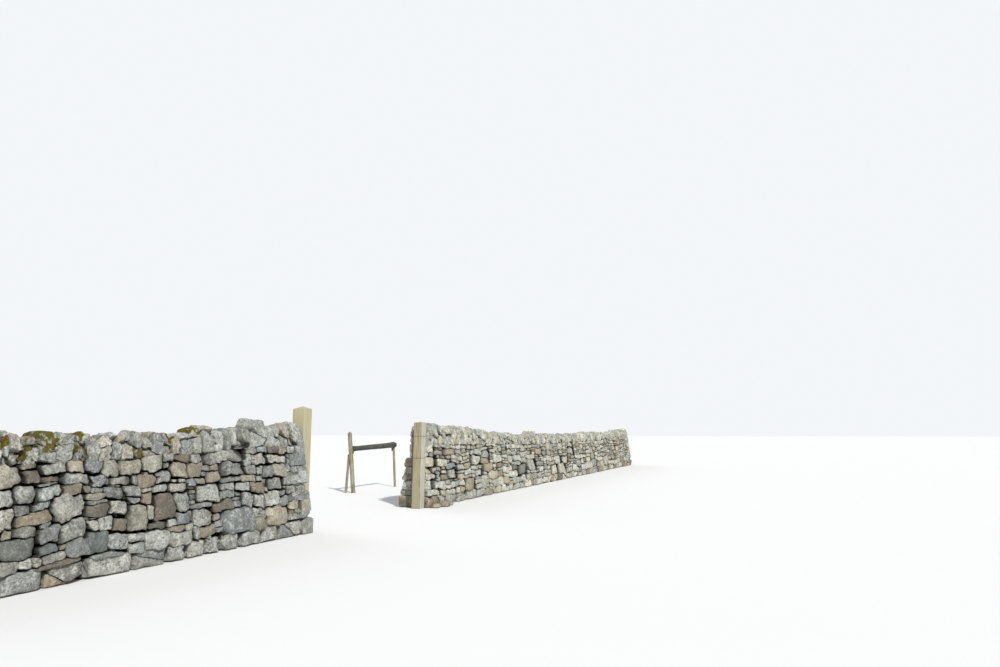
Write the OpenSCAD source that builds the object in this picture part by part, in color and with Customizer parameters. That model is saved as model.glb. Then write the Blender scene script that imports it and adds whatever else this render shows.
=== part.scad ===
// Dry-stone field wall with a posted gateway and a low rail frame behind the gap.
// The wall runs along X, the track side faces -Y, and the ground is z = 0.
// The origin is the middle of the left gatepost's foot.

/* [Walling] */
// Width over the footing stones
footing_w = 720; // [680:10:800]
// Width of the walling where it stands on the footings
walling_w = 640; // [600:10:660]
// Width of the walling at the design height, under the cope
top_w = 400; // [380:10:460]
// Design height of the walling that sets its batter
design_h = 1190; // [1100:10:1300]
// Thickness of each built face
face_t = 165; // [120:5:175]
// Distance of the walling's middle line behind the left gatepost's middle
wall_y = -13; // [-40:1:40]

/* [Footings] */
// Height of the footing course
footing_h = 215; // [160:5:260]
// Usual length of one footing stone
footing_len = 470; // [350:10:650]
// Gap between the two rows of footings, filled with hearting
footing_gap = 120; // [80:10:180]
// How far a footing stone bulges at half its height
footing_bulge = 22; // [8:1:30]

/* [Stretches] */
// Length of the left-hand stretch
left_len = 5600; // [4000:100:7000]
// Length of one rood, the waller's seven yards
rood_len = 6400; // [4500:100:7000]
// Walling height at the left-hand stretch's outer end
left_outer_h = 1150; // [1050:10:1250]
// Walling height at the left side of the gateway
left_gate_h = 1250; // [1100:10:1300]
// Walling height at the right side of the gateway
right_gate_h = 1195; // [1100:10:1300]
// Walling height where the near rood meets the middle rood
near_end_h = 1080; // [1000:10:1250]
// Walling height where the middle rood meets the far rood
middle_end_h = 1070; // [1000:10:1250]
// Walling height at the right-hand stretch's outer end
right_outer_h = 1160; // [1050:10:1250]

/* [Wall heads] */
// Usual height of one course in a wall head
course_h = 135; // [110:5:180]
// Length along the wall of a tie stone
tie_len = 270; // [200:10:340]
// Length along the wall of a runner stone
runner_len = 520; // [420:10:640]
// Gap between the two runners of a course
runner_gap = 36; // [20:2:60]
// How far a wall head leans back from its foot to its top
head_batter = 45; // [0:5:80]
// How unevenly the stones of a wall head end
head_ragged = 22; // [0:2:30]
// Length along the wall of the corner that has fallen from the right-hand gateway head
lost_corner_len = 240; // [120:10:260]
// Width left standing at that head's end where the corner has fallen
lost_corner_left = 230; // [200:5:300]

/* [Cope] */
// Usual thickness along the wall of one cope stone
cope_pitch = 165; // [120:5:220]
// Height of the cope stones on the left-hand stretch
left_cope_h = 320; // [240:10:380]
// Height of the cope stones on the right-hand stretch
right_cope_h = 295; // [240:10:380]
// How far a cope stone overhangs each face
cope_over = 18; // [5:1:35]
// How far the top of a cope stone leans along the wall
cope_lean = 45; // [0:5:80]
// Share by which cope stones differ in thickness
cope_spread = 0.45; // [0.1:0.05:0.45]
// Share by which the row's height rises and falls along a stretch
cope_wave = 0.13; // [0:0.01:0.2]
// How far the cope beside the right gatepost stands above the rest of its row
gate_cope_rise = 170; // [0:10:200]
// Length along the wall over which that rise dies away
gate_cope_run = 3000; // [1800:100:4000]
// Open joint between neighbouring loose stones
stone_joint = 6; // [3:1:10]

/* [Gateway] */
// Clear width between the gateposts
gate_w = 3430; // [2700:10:4200]
// Side of the square left gatepost
left_post_w = 208; // [150:2:240]
// Height of the left gatepost
left_post_h = 1830; // [1500:10:2100]
// Lean of the left gatepost towards the gap, in degrees
left_post_lean = 1.4; // [0:0.1:2.5]
// Height of the left gatepost's four-way weathered top
left_post_cap = 42; // [20:2:80]
// Side of the square right gatepost
right_post_w = 184; // [150:2:220]
// Height of the right gatepost
right_post_h = 1620; // [1400:10:2100]
// Distance of the right gatepost's middle in front of the left one's
right_post_fwd = 160; // [60:5:190]
// Fall of the right gatepost's worn top
right_post_fall = 14; // [4:1:40]
// Lean of the right gatepost towards the track side, in degrees
right_post_lean = 1.4; // [0:0.1:2.5]

/* [Rail frame] */
// Distance of the tall stake's foot behind the left gatepost
frame_y = 2930; // [2000:10:3600]
// Distance of the tall stake's foot along the wall from the left gatepost
frame_x = 6480; // [5500:20:7500]
// Length of the rail
rail_len = 2190; // [1600:10:2600]
// Diameter of the rail at its thin end
rail_thin_d = 124; // [90:2:130]
// Diameter of the rail at its thick end
rail_thick_d = 148; // [132:2:170]
// Height of the rail's middle line at the tall stake
rail_z = 1020; // [850:10:1150]
// Rise of the rail along its length
rail_rise = 58; // [0:2:120]
// Diameter of the tall stake
tall_stake_d = 106; // [80:2:130]
// Height of the tall stake
tall_stake_h = 1420; // [1250:10:1600]
// How far the tall stake's top leans back from its foot
stake_lean = 112; // [40:4:150]
// Diameter of the short stake
short_stake_d = 64; // [50:2:80]
// Height of the short stake
short_stake_h = 900; // [700:10:900]
// Spread between the feet of the short stake and the tall stake
stake_spread = 175; // [150:5:260]
// Diameter of the end stake
end_stake_d = 64; // [50:2:90]
// Thickness of the straps round the rail
strap_t = 6; // [4:1:10]
// Width of the straps round the rail
strap_w = 34; // [20:2:60]

/* [Hidden] */

limestone = "#a5a8a4";
dark_limestone = "#7f827f";
rubble = "#6d6b66";
cope_stone_grey = "#b4b6b0";
new_timber = "#d3c48f";
old_timber = "#9a9683";
bark = "#4e4a4f";
iron = "#3b3634";

// Clearance between pieces that rest against each other on a slope or a curve
seat = 0.3;
batter = (walling_w - top_w) / 2 / (design_h - footing_h);
// Height that every extruded section passes beyond the walling
over_h = 1800;

// The cope boulder near the gateway: its place in the row, thickness and height against the others
boulder_place = 0.82;
boulder_share = 3.4;
boulder_rise = 1.3;
// Turn of the row's wave from one seed to the next, in degrees
cope_phase = 12;
// Course from which the right-hand gateway head has lost its field-side corner
lost_from = 6;

// The stretches: start, end, heights at both, whether a wall head closes each end, seed
START = 0;
END = 1;
START_H = 2;
END_H = 3;
START_HEAD = 4;
END_HEAD = 5;
SEED = 6;
left_end_x = -left_post_w / 2 - seat;
right_start_x = left_post_w / 2 + gate_w + right_post_w + seat;
left = [left_end_x - left_len, left_end_x, left_outer_h, left_gate_h, true, true, 11];
near = [right_start_x, right_start_x + rood_len, right_gate_h, near_end_h, true, false, 23];
middle = [near[END], near[END] + rood_len, near_end_h, middle_end_h, false, false, 37];
far = [middle[END], middle[END] + rood_len, middle_end_h, right_outer_h, false, true, 41];

// Half the walling's width at a height
function half_at(z) = walling_w / 2 - (z - footing_h) * batter;

// Height of the walling at a place along a stretch
function top_at(s, x) = s[START_H] + (s[END_H] - s[START_H]) * (x - s[START]) / (s[END] - s[START]);

// Length of the bonded wall head in a course: tie stones and runner stones take turns
function reach(course) = (course % 2 == 0 ? tie_len : runner_len) * (1 + 0.13 * sin(course * 97));

// Number of courses above the footing course of a wall head
function courses(h) = round((h - footing_h) / course_h);

// Height of a course's bed: course 0 is the footing course, and the others vary a little
function bed(h, course) =
    course == 0 ? 0
    : course == 1 ? footing_h
    : course > courses(h) ? h
    : footing_h + (h - footing_h) * (course - 1 + 0.2 * sin(course * 137)) / courses(h);

// How far a course of a wall head ends short of the head's foot
function set_back(h, course) =
    course == 0 ? 0 : head_batter * bed(h, course) / h + head_ragged * (0.5 + 0.5 * sin(course * 113));

// Shares of a length that vary from stone to stone and add up to the whole
function shares(count, spread, seed) =
    let (raw = rands(1 - spread, 1 + spread, count, seed), total = raw * [for (i = raw) 1])
    [for (w = raw) w / total];

// Running places of the stones' joints, from 0 to 1
function joints(parts) =
    [for (i = 0, at = 0; i <= len(parts); at = at + (i < len(parts) ? parts[i] : 0), i = i + 1) at];

// A section across the wall, drawn in Y and Z, that runs from x0 to x1
module section(x0, x1, points)
    translate([x0, 0, 0])
        rotate([90, 0, 90])
            linear_extrude(x1 - x0) polygon(points);

// An elevation of the wall, drawn in X and Z, that runs from y0 to y1
module elevation(y0, y1, points)
    translate([0, y1, 0])
        rotate([90, 0, 0])
            linear_extrude(y1 - y0) polygon(points);

// Outline of a stretch between its wall heads, toothed where each course of a head bonds into it
function head_teeth(s, at_end, low) =
    let (
        h = at_end ? s[END_H] : s[START_H],
        x = at_end ? s[END] : s[START],
        in = at_end ? -1 : 1,
        last = courses(h)
    )
    [for (c = [low : last]) each [
        [x + in * reach(c), bed(h, c)],
        [x + in * reach(c), c == last ? top_at(s, x + in * reach(c)) : bed(h, c + 1)]
    ]];

function plain_end(s, at_end, z0) = at_end
    ? [[s[END], z0], [s[END], s[END_H]]]
    : [[s[START], z0], [s[START], s[START_H]]];

function reversed(list) = [for (i = [len(list) - 1 : -1 : 0]) list[i]];

function stretch_outline(s, low) =
    let (
        z0 = low == 0 ? 0 : footing_h,
        right = s[END_HEAD] ? head_teeth(s, true, low) : plain_end(s, true, z0),
        left_side = s[START_HEAD] ? head_teeth(s, false, low) : plain_end(s, false, z0)
    )
    concat(right, reversed(left_side));

// One built face: side is -1 for the track side and 1 for the field side
module built_face(s, side) {
    y_out = [half_at(footing_h), half_at(over_h)];
    translate([0, wall_y, 0])
        intersection() {
            section(s[START] - 1, s[END] + 1, [
                [side * y_out[0], footing_h], [side * (y_out[0] - face_t), footing_h],
                [side * (y_out[1] - face_t), over_h], [side * y_out[1], over_h]
            ]);
            elevation(-walling_w, walling_w, stretch_outline(s, 1));
        }
}

// The packing between the two faces, down to the ground between the footings
module packing(s) {
    foot = footing_gap / 2 - seat;
    low = half_at(footing_h) - face_t - seat;
    crest = max(s[START_H], s[END_H]) + 1;
    high = half_at(crest) - face_t - seat;
    translate([0, wall_y, 0])
        intersection() {
            union() {
                section(s[START] - 1, s[END] + 1, [
                    [-foot, 0], [foot, 0], [foot, footing_h + 1], [-foot, footing_h + 1]
                ]);
                section(s[START] - 1, s[END] + 1, [
                    [-low, footing_h], [low, footing_h], [high, crest], [-high, crest]
                ]);
            }
            elevation(-walling_w, walling_w, stretch_outline(s, 0));
        }
}

// One footing stone: a convex block, bulged outwards in plan and in section
module footing_stone(x0, x1, side, seed) {
    vary = rands(0, 1, 5, seed);
    inner = footing_gap / 2;
    outer = footing_w / 2 - footing_bulge;
    round_x = (x1 - x0) * (0.12 + 0.16 * vary[0]);
    plan_out = outer + footing_bulge;
    plan_in = plan_out - 20 - 34 * vary[1];
    intersection() {
        linear_extrude(footing_h)
            polygon([
                [x0, side * inner], [x0, side * plan_in], [x0 + round_x, side * (plan_out - 5 * vary[2])],
                [x1 - round_x, side * plan_out], [x1, side * (plan_in - 12 * vary[3])], [x1, side * inner]
            ]);
        section(x0 - 1, x1 + 1, [
            [side * inner, 0], [side * (outer - 6), 0],
            [side * (outer + footing_bulge), footing_h * (0.35 + 0.25 * vary[4])],
            [side * (outer - 6), footing_h], [side * inner, footing_h]
        ]);
    }
}

// Both rows of footings, between the foundation stones of the wall heads
module footings(s) {
    x0 = s[START] + (s[START_HEAD] ? reach(0) : 0);
    x1 = s[END] - (s[END_HEAD] ? reach(0) : 0);
    count = round((x1 - x0) / footing_len);
    translate([0, wall_y, 0])
        for (side = [-1, 1]) {
            at = joints(shares(count, 0.35, s[SEED] + side));
            for (i = [0 : count - 1])
                footing_stone(
                    x0 + (x1 - x0) * at[i] + stone_joint / 2, x0 + (x1 - x0) * at[i + 1] - stone_joint / 2,
                    side, s[SEED] * 100 + i * 2 + side);
        }
}

// One stone of a wall head, between its own beds and, in the top course, up to the stretch's top
module head_stone(s, at_end, course, y0_of, y1_of) {
    h = at_end ? s[END_H] : s[START_H];
    end_x = at_end ? s[END] : s[START];
    in = at_end ? -1 : 1;
    x = end_x + in * set_back(h, course);
    inner_x = end_x + in * reach(course);
    z0 = bed(h, course);
    top = course == courses(h);
    z_x = top ? top_at(s, x) : bed(h, course + 1);
    z_inner = top ? top_at(s, inner_x) : bed(h, course + 1);
    section_top = max(z_x, z_inner);
    intersection() {
        section(min(x, inner_x), max(x, inner_x), [
            [y0_of[0], z0], [y1_of[0], z0], [y1_of[1], section_top], [y0_of[1], section_top]
        ]);
        elevation(-walling_w, walling_w, [[x, z0], [inner_x, z0], [inner_x, z_inner], [x, z_x]]);
    }
}

// Highest point of a course of a wall head
function course_top(s, at_end, course) =
    let (h = at_end ? s[END_H] : s[START_H])
    course < courses(h) ? bed(h, course + 1)
    : max(h, top_at(s, at_end ? s[END] - reach(course) : s[START] + reach(course)));

// Tie stones: every other course, right through the wall, with the foundation stone below
module ties(s, at_end) {
    h = at_end ? s[END_H] : s[START_H];
    translate([0, wall_y, 0])
        for (course = [0 : 2 : courses(h)]) {
            top_z = course_top(s, at_end, course);
            low = course == 0 ? footing_w / 2 - footing_bulge : half_at(bed(h, course));
            high = course == 0 ? low : half_at(top_z);
            head_stone(s, at_end, course, [-low, -high], [low, high]);
        }
}

// Runner stones: the courses between, in pairs along the two faces
module runners(s, at_end) {
    h = at_end ? s[END_H] : s[START_H];
    translate([0, wall_y, 0])
        for (course = [1 : 2 : courses(h)], side = [-1, 1]) {
            top_z = course_top(s, at_end, course);
            inner = side * runner_gap / 2;
            head_stone(s, at_end, course, [inner, inner],
                [side * half_at(bed(h, course)), side * half_at(top_z)]);
        }
}

// One cope stone on edge, between two joints of their own slopes, with a rough rounded top
module cope_stone(s, x0, x1, slope0, slope1, h, seed) {
    vary = rands(0, 1, 8, seed);
    lean0 = slope0 * h;
    lean1 = slope1 * h;
    z0 = top_at(s, x0);
    z1 = top_at(s, x1);
    depth = half_at((z0 + z1) / 2) + cope_over * (0.4 + 0.6 * vary[0]);
    top = (z0 + z1) / 2 + h;
    nip = (x1 + lean1 - x0 - lean0) * (0.12 + 0.14 * vary[4]);
    intersection() {
        section(min(x0, x0 + lean0) - 1, max(x1, x1 + lean1) + 1, [
            [-depth, min(z0, z1) - 1], [depth, min(z0, z1) - 1],
            [depth + 10 * vary[1], top - h * (0.55 + 0.2 * vary[2])],
            [depth * (0.55 + 0.25 * vary[3]), top - h * 0.12 * vary[4]],
            [-depth * 0.15, top],
            [-depth * (0.6 + 0.25 * vary[5]), top - h * 0.18 * vary[6]],
            [-depth - 10 * vary[7], top - h * (0.5 + 0.2 * vary[2])]
        ]);
        elevation(-walling_w, walling_w, [
            [x0, z0], [x1, z1], [x1 + lean1 * 0.7, z1 + h * 0.7], [x1 + lean1 - nip, top + 1],
            [x0 + lean0 + nip, top + 1], [x0 + lean0 * 0.7, z0 + h * 0.7]
        ]);
    }
}

// Share of the gateway rise that is left at a distance from the start of a row of cope stones
function rise_share(distance) = min(1, max(0, 1.25 * (1 - distance / gate_cope_run)));

// The row of cope stones on a stretch, upright at the ends and leaning unevenly between.
// One stone of a row may be a boulder as thick as a few of the others: its place is a share of the row.
module cope(s, h, boulder = -1, rise = 0) {
    start = s[START] + (s[START_HEAD] ? head_batter : 0);
    length = s[END] - (s[END_HEAD] ? head_batter : 0) - start;
    count = round(length / cope_pitch);
    big = floor(boulder * count);
    even = shares(count, cope_spread, s[SEED] + 7);
    row = [for (i = [0 : count - 1]) even[i] * (i == big ? boulder_share : 1)];
    at = joints(row / (row * [for (share = row) 1]));
    vary = rands(0.82, 1.1, count, s[SEED] + 9);
    wave = [for (place = at) 1 + cope_wave * sin(360 * place + cope_phase * s[SEED])];
    tall = [for (i = [0 : count - 1])
        h * (i == big ? boulder_rise : vary[i] * wave[i]) + rise * rise_share(length * at[i])];
    lean = rands(0.4, 0.4 + 0.2 * cope_pitch / max(cope_lean, 1), count + 1, s[SEED] + 13) * cope_lean / h;
    translate([0, wall_y, 0])
        for (i = [0 : count - 1])
            cope_stone(
                s, start + length * at[i] + stone_joint / 2, start + length * at[i + 1] - stone_joint / 2,
                i == 0 ? 0 : lean[i], i == count - 1 ? 0 : lean[i + 1], tall[i], s[SEED] * 50 + i);
}

// A stretch's start without the field-side corner that has fallen from its head
module without_corner(s) {
    y0 = lost_corner_left - half_at(s[START_H]);
    outer = half_at(bed(s[START_H], lost_from));
    reach_out = (footing_w - y0) * lost_corner_len / (outer - y0);
    difference() {
        children();
        translate([s[START], wall_y, bed(s[START_H], lost_from)])
            linear_extrude(over_h)
                polygon([[0, y0], [0, footing_w], [reach_out, footing_w]]);
    }
}

module left_footings() { color(dark_limestone) footings(left); }
module left_front_face() { color(limestone) built_face(left, -1); }
module left_back_face() { color(limestone) built_face(left, 1); }
module left_hearting() { color(rubble) packing(left); }
module left_cope() { color(cope_stone_grey) cope(left, left_cope_h, boulder_place); }
module left_outer_ties() { color(limestone) ties(left, false); }
module left_outer_runners() { color(limestone) runners(left, false); }
module left_gateway_ties() { color(limestone) ties(left, true); }
module left_gateway_runners() { color(limestone) runners(left, true); }

module near_footings() { color(dark_limestone) footings(near); }
module near_front_face() { color(limestone) built_face(near, -1); }
module near_back_face() { color(limestone) built_face(near, 1); }
module near_hearting() { color(rubble) packing(near); }
module near_cope() {
    color(cope_stone_grey) without_corner(near) cope(near, right_cope_h, rise = gate_cope_rise);
}

module middle_footings() { color(dark_limestone) footings(middle); }
module middle_front_face() { color(limestone) built_face(middle, -1); }
module middle_back_face() { color(limestone) built_face(middle, 1); }
module middle_hearting() { color(rubble) packing(middle); }
module middle_cope() { color(cope_stone_grey) cope(middle, right_cope_h); }

module far_footings() { color(dark_limestone) footings(far); }
module far_front_face() { color(limestone) built_face(far, -1); }
module far_back_face() { color(limestone) built_face(far, 1); }
module far_hearting() { color(rubble) packing(far); }
module far_cope() { color(cope_stone_grey) cope(far, right_cope_h); }

module right_gateway_ties() { color(limestone) without_corner(near) ties(near, false); }
module right_gateway_runners() { color(limestone) without_corner(near) runners(near, false); }
module right_outer_ties() { color(limestone) ties(far, true); }
module right_outer_runners() { color(limestone) runners(far, true); }

// A square post whose foot is cut level with the ground: roof is the outline of its top, seen along Y
module square_post(w, roof_x, roof_y) {
    intersection() {
        translate([0, w / 2, 0])
            rotate([90, 0, 0])
                linear_extrude(w) polygon(roof_x);
        translate([-w / 2, 0, 0])
            rotate([90, 0, 90])
                linear_extrude(w) polygon(roof_y);
    }
}

// Side view of a post: straight sides down below the ground, and a ridge at the middle
function ridged(w, shoulder, ridge) =
    [[-w / 2, -w], [w / 2, -w], [w / 2, shoulder], [0, ridge], [-w / 2, shoulder]];

// Side view of a post whose top falls evenly to one side
function falling(w, high, low) = [[-w / 2, -w], [w / 2, -w], [w / 2, low], [-w / 2, high]];

module above_ground(size)
    intersection() {
        children();
        translate([-size, -size, 0]) cube([2 * size, 2 * size, 2 * size]);
    }

module left_gatepost() {
    color(new_timber)
        above_ground(left_post_h + 100)
            rotate([0, left_post_lean, 0])
                square_post(left_post_w, ridged(left_post_w, left_post_h - left_post_cap, left_post_h),
                    ridged(left_post_w, left_post_h - left_post_cap, left_post_h));
}

right_post_x = left_post_w / 2 + gate_w + right_post_w / 2;

module right_gatepost() {
    color(old_timber)
        translate([right_post_x, -right_post_fwd, 0])
            above_ground(right_post_h + 100)
                rotate([right_post_lean, 0, 0])
                    square_post(right_post_w,
                        falling(right_post_w, right_post_h, right_post_h - right_post_fall),
                        ridged(right_post_w, right_post_h - right_post_fall, right_post_h));
}

// The rail frame's own axes: the tall stake leans back and a little to the left
tall_foot = [frame_x, frame_y, 0];
lean_dir = [-0.35, 0.94];
tall_top = tall_foot + [lean_dir[0] * stake_lean, lean_dir[1] * stake_lean, tall_stake_h];
function on_tall(z) = tall_foot + (tall_top - tall_foot) * z / tall_stake_h;

rail_start = on_tall(rail_z) + [tall_stake_d / 2 + seat, 0, 0];
rail_dir = [sqrt(rail_len * rail_len - rail_rise * rail_rise), 0, rail_rise] / rail_len;
rail_tilt = atan2(rail_rise, sqrt(rail_len * rail_len - rail_rise * rail_rise));
// Sides of a hand-hewn stake
hewn_sides = 12;
// Straight part at each end of the rail, where a strap goes round it
rail_collar = 180;
rail_round = 45;
end_stake_from_tip = 110;

module along(p0, p1)
    translate(p0)
        rotate([0, acos((p1 - p0)[2] / norm(p1 - p0)), atan2((p1 - p0)[1], (p1 - p0)[0])])
            children();

module place_on_rail(distance)
    translate(rail_start)
        rotate([0, 90 - rail_tilt, 0])
            translate([0, 0, distance]) children();

function arc(cx, cy, r, a0, a1, steps) =
    [for (i = [0 : steps]) let (a = a0 + (a1 - a0) * i / steps) [cx + r * cos(a), cy + r * sin(a)]];

module rail() {
    thin_r = rail_thin_d / 2;
    thick_r = rail_thick_d / 2;
    worn_end = rail_len - rail_round;
    color(bark)
        place_on_rail(0)
            rotate_extrude($fn = 48)
                polygon(concat(
                    [
                        [0, 0], [thin_r - 8, 0], [thin_r, 12], [thin_r, rail_collar],
                        [thick_r, rail_len - rail_collar], [thick_r, worn_end]
                    ],
                    arc(thick_r - rail_round, worn_end, rail_round, 15, 90, 5),
                    [[0, rail_len]]
                ));
}

module strap(rail_r, tail)
    difference() {
        union() {
            cylinder(h = strap_w, r = rail_r + seat + strap_t, center = true, $fn = 48);
            translate([0, -strap_w / 2, -strap_w / 2])
                cube([rail_r + strap_t + tail, strap_w, strap_t]);
        }
        cylinder(h = 2 * strap_w, r = rail_r + seat, center = true, $fn = 48);
    }

module rail_straps() {
    color(iron) {
        place_on_rail(70) strap(rail_thin_d / 2, 55);
        place_on_rail(rail_len - end_stake_from_tip - end_stake_d / 2 - strap_w) strap(rail_thick_d / 2, 70);
    }
}

module stake(foot, top, d)
    above_ground(10000)
        along(foot - (top - foot) * 0.1, top) cylinder(h = norm(top - foot) * 1.1, d = d, $fn = hewn_sides);

module tall_stake() { color(old_timber) stake(tall_foot, tall_top, tall_stake_d); }

// The short stake's head is trimmed to lie against the tall stake, and its foot stands behind it
short_foot = tall_foot + [lean_dir[0] * stake_spread, lean_dir[1] * stake_spread, 0];
// How deep the short stake's head is trimmed, and the side of the tall stake that it lies on
short_trim = 4;
short_side = [0.44, 0.898, 0];
short_head = on_tall(short_stake_h) + short_side * ((tall_stake_d + short_stake_d) / 2 - short_trim);

module short_stake()
    color(old_timber)
        difference() {
            stake(short_foot, short_head, short_stake_d);
            stake(tall_foot, tall_top, tall_stake_d + 2 * seat);
        }

// The end stake stands under the rail, and its head is cut to a cradle for it
end_x = rail_start[0] + rail_dir[0] * (rail_len - end_stake_from_tip);
end_z = rail_start[2] + rail_dir[2] * (rail_len - end_stake_from_tip);
end_foot = [end_x + 30, rail_start[1] - 38, 0];
end_head = [end_x, rail_start[1], end_z];

module end_stake() {
    color(old_timber)
        difference() {
            stake(end_foot, end_head, end_stake_d);
            place_on_rail(rail_len / 2)
                cylinder(h = rail_len, r = rail_thick_d / 2 + seat, $fn = 48);
        }
}

// Loose slabs that lie side by side on the ground, the first against the right-hand gateway head
// Each: length along the wall, reach from the wall, height
fallen = [[240, 190, 85], [330, 240, 120], [260, 170, 70]];
// Distance of the first slab from the end of the wall head
fallen_from = 20;
fallen_side = 60;

module fallen_stone(x0, x1, back, reach, height) {
    length = x1 - x0;
    front = back - reach;
    intersection() {
        linear_extrude(height)
            polygon([
                [x0, back], [x0, back - fallen_side - seat], [x0 + length * 0.2, front],
                [x0 + length * 0.75, front + reach * 0.1], [x1, back - fallen_side - seat], [x1, back]
            ]);
        section(x0 - 1, x1 + 1, [
            [front + reach * 0.06, 0], [front, height * 0.4], [front + reach * 0.3, height],
            [back, height * 0.85], [back, 0]
        ]);
    }
}

module fallen_stones() {
    head_back = wall_y - footing_w / 2 + footing_bulge - seat;
    row_back = wall_y - footing_w / 2 - seat;
    x1 = right_start_x + fallen_from + fallen[0][0];
    x2 = x1 + fallen[1][0];
    color(limestone) {
        fallen_stone(x1 - fallen[0][0], x1, head_back, fallen[0][1], fallen[0][2]);
        fallen_stone(x1 + seat, x2, row_back, fallen[1][1], fallen[1][2]);
        fallen_stone(x2 + seat, x2 + fallen[2][0], row_back, fallen[2][1], fallen[2][2]);
    }
}

left_footings();
left_front_face();
left_back_face();
left_hearting();
left_cope();
left_outer_ties();
left_outer_runners();
left_gateway_ties();
left_gateway_runners();
near_footings();
near_front_face();
near_back_face();
near_hearting();
near_cope();
middle_footings();
middle_front_face();
middle_back_face();
middle_hearting();
middle_cope();
far_footings();
far_front_face();
far_back_face();
far_hearting();
far_cope();
right_gateway_ties();
right_gateway_runners();
right_outer_ties();
right_outer_runners();
left_gatepost();
right_gatepost();
rail();
rail_straps();
tall_stake();
short_stake();
end_stake();
fallen_stones();
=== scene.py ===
import functools
import math
from collections import defaultdict
import bpy
import numpy as np
from mathutils import Matrix, Vector


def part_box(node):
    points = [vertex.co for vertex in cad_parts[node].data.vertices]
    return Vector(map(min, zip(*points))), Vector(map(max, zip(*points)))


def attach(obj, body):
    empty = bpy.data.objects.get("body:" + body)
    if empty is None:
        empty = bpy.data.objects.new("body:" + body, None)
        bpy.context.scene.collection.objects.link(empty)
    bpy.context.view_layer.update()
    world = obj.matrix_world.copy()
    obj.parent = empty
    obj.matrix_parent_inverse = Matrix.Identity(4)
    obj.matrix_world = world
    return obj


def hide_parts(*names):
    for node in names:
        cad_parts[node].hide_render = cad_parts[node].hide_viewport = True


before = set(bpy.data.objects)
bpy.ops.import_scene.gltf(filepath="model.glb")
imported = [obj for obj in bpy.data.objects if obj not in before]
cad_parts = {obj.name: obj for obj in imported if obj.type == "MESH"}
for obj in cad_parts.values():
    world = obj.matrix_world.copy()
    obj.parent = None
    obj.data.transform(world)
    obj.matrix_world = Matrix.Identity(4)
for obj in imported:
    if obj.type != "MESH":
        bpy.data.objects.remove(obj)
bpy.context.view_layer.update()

# Image and camera: the eye stands on the track, and looks along the wall
IMAGE_W = 1000
FOCAL_PX = 807.8
SENSOR_MM = 36.0
EYE = (-10.322, -7.064, 1.4885)
EYE_YAW = math.radians(69.41)
EYE_PITCH = math.radians(6.72)
EYE_ROLL = math.radians(-0.107)

# The stretches of walling, from left to right
ROODS = ["left", "near", "middle", "far"]
# Fineness: cells across, up and into a face stone, or along each side of another stone
FRONT_GRID = {"left": (16, 11, 4), "near": (10, 8, 3), "middle": (8, 6, 3), "far": (7, 5, 2)}
BACK_GRID = {"left": (9, 7, 3), "near": (8, 6, 3), "middle": (6, 5, 2), "far": (6, 5, 2)}
COPE_GRID = {"left": 12, "near": 9, "middle": 6, "far": 6}
FOOT_GRID = {"left": 10, "near": 7, "middle": 5, "far": 5}
HEAD_GRID = {"left_gateway": 9, "right_gateway": 9, "left_outer": 6, "right_outer": 6}
FALLEN_GRID = 9
PACKING_GRID = 5
WEDGE_GRID = (4, 3, 2)

# Faces are laid out on cells of this size (m)
CELL = 0.01


# Colours, given as the eye reads them, from 0 to 255
def tone(r, g, b):
    def linear(c):
        c = c / 255
        return c / 12.92 if c <= 0.04045 else ((c + 0.055) / 1.055) ** 2.4
    return (linear(r), linear(g), linear(b))


# Stone kinds: colour, share of the wall, how much pale lichen grows on it, how rough it breaks
KINDS = {
    "pale": (tone(186, 186, 178), 0.25, 1.0, 1.3),
    "grey": (tone(158, 159, 152), 0.38, 0.9, 1.15),
    "blue_grey": (tone(140, 143, 141), 0.13, 0.7, 0.9),
    "green_grey": (tone(117, 124, 120), 0.015, 0.25, 0.8),
    "buff": (tone(170, 165, 148), 0.09, 0.55, 0.8),
    "tan": (tone(152, 143, 124), 0.06, 0.3, 0.7),
    "brown": (tone(134, 125, 108), 0.05, 0.2, 0.8),
    "umber": (tone(111, 105, 94), 0.025, 0.25, 0.8),
}
# The left-hand stretch is greyer and darker, the right-hand one paler and creamier
TINTS = {
    "left": (0.93, 0.94, 0.94), "near": (1.34, 1.33, 1.24),
    "middle": (1.36, 1.32, 1.20), "far": (1.34, 1.32, 1.21),
}
# How much paler a cope is than the faces under it
COPE_PALER = {"left": 1.12, "near": 1.0}
# The stone deep inside a broken one: how much of its size it keeps, and how shaded it is
PACKING_KEPT = 0.6
PACKING_SHADE = 0.6

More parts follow.
